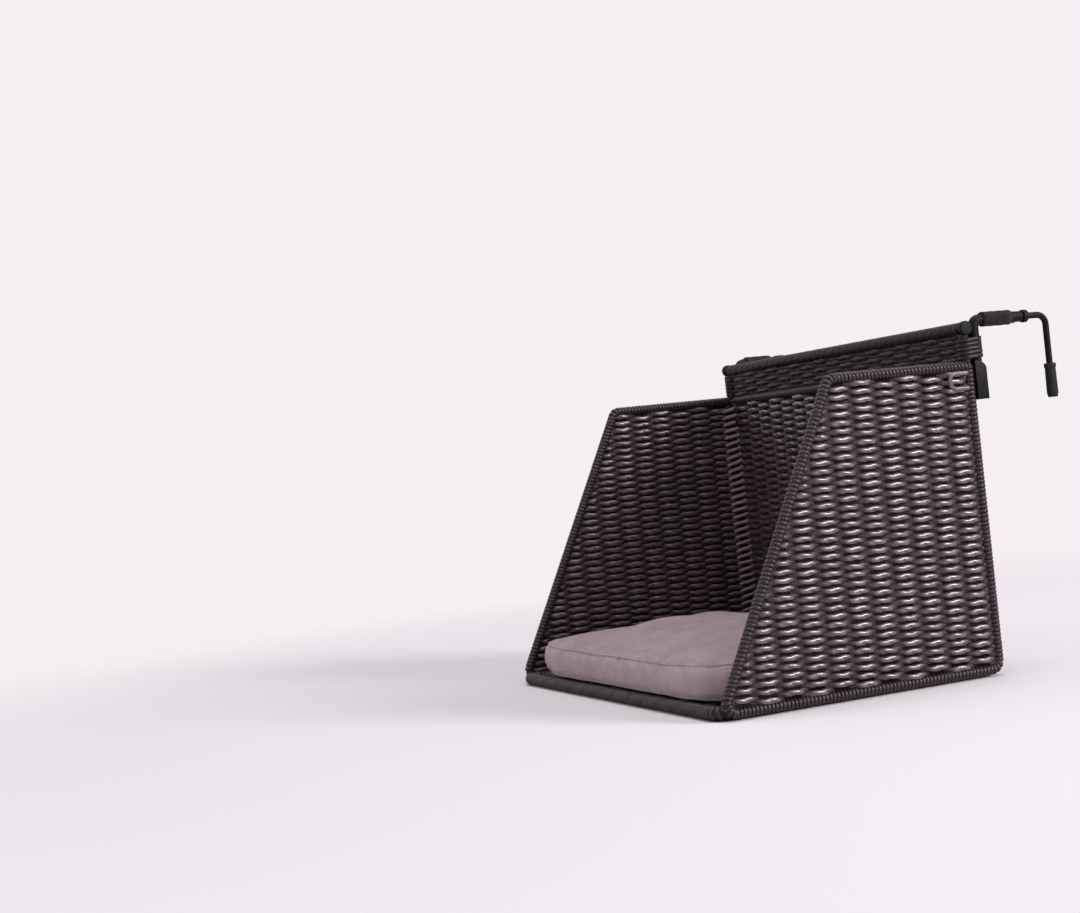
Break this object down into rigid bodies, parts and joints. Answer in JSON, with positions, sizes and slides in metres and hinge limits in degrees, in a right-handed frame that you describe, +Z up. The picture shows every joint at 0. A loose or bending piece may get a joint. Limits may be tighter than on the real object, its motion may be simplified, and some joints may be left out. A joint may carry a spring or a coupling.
{
  "type": "radiator cat bed",
  "caption": "Woven open-front cat basket that hangs over a panel radiator on padded arms with sliding rod hooks, with a loose plush cushion inside.",
  "frame": {"origin": "middle of the overall box in X and Y, at the floor that the flat base stands on", "axes": "+X runs along the radiator, +Y from the open front towards the radiator and the wall, +Z up"},
  "size_m": [0.46, 0.395, 0.334],
  "materials": {
    "frame_steel": "satin black powder coat",
    "rivet_steel": "satin black",
    "woven_cord": "paper cord woven over stakes, black lacquer with a soft gloss",
    "rim_cord": "wound paper cord, black lacquer with a soft gloss",
    "strip_cord": "closely woven paper cord, black lacquer",
    "moulded_plastic": "fine satin",
    "foam_sleeve": "closed-cell foam",
    "rubber_tip": "matte",
    "plush_cover": "short warm grey plush"
  },
  "bodies": {
    "basket": {"base_frame": "frame_steel", "back_frame": "frame_steel", "left_side_frame": "frame_steel", "right_side_frame": "frame_steel", "hanger_rail": "frame_steel", "left_arm_tube": "frame_steel", "right_arm_tube": "frame_steel", "left_corner_bracket": "frame_steel", "right_corner_bracket": "frame_steel", "left_upper_rivet": "rivet_steel", "right_upper_rivet": "rivet_steel", "left_lower_rivet": "rivet_steel", "right_lower_rivet": "rivet_steel", "base_weave": "woven_cord", "back_weave": "woven_cord", "left_side_weave": "woven_cord", "right_side_weave": "woven_cord", "front_rim_binding": "rim_cord", "left_front_rim_binding": "rim_cord", "right_front_rim_binding": "rim_cord", "left_top_rim_binding": "rim_cord", "right_top_rim_binding": "rim_cord", "back_top_binding": "rim_cord", "base_back_binding": "rim_cord", "base_left_binding": "rim_cord", "base_right_binding": "rim_cord", "back_left_binding": "rim_cord", "back_right_binding": "rim_cord", "hanger_strip_weave": "strip_cord", "rail_cap_left": "moulded_plastic", "rail_cap_right": "moulded_plastic", "left_arm_bush": "moulded_plastic", "right_arm_bush": "moulded_plastic", "left_arm_sleeve": "foam_sleeve", "right_arm_sleeve": "foam_sleeve"},
    "left_hook": {"left_hook_rod": "frame_steel", "left_hook_tip": "rubber_tip"},
    "right_hook": {"right_hook_rod": "frame_steel", "right_hook_tip": "rubber_tip"},
    "left_lock": {"left_lock_screw": "moulded_plastic"},
    "right_lock": {"right_lock_screw": "moulded_plastic"},
    "cushion": {"cushion": "plush_cover"}
  },
  "joints": [
    {"name": "left_hook_slide", "type": "slide", "parent": "basket", "child": "left_hook", "axis": [0, 1, 0], "range_m": [-0.008, 0.025]},
    {"name": "right_hook_slide", "type": "slide", "parent": "basket", "child": "right_hook", "axis": [0, 1, 0], "range_m": [-0.008, 0.025]},
    {"name": "left_lock_turn", "type": "hinge", "parent": "basket", "child": "left_lock", "pos_m": [-0.223, 0.1575, 0.327], "axis": [1, 0, 0], "range_deg": [0, 360]},
    {"name": "right_lock_turn", "type": "hinge", "parent": "basket", "child": "right_lock", "pos_m": [0.223, 0.1575, 0.327], "axis": [-1, 0, 0], "range_deg": [0, 360]},
    {"name": "cushion_lift", "type": "slide", "parent": "basket", "child": "cushion", "axis": [0, 0, 1], "range_m": [0, 0.3]}
  ]
}
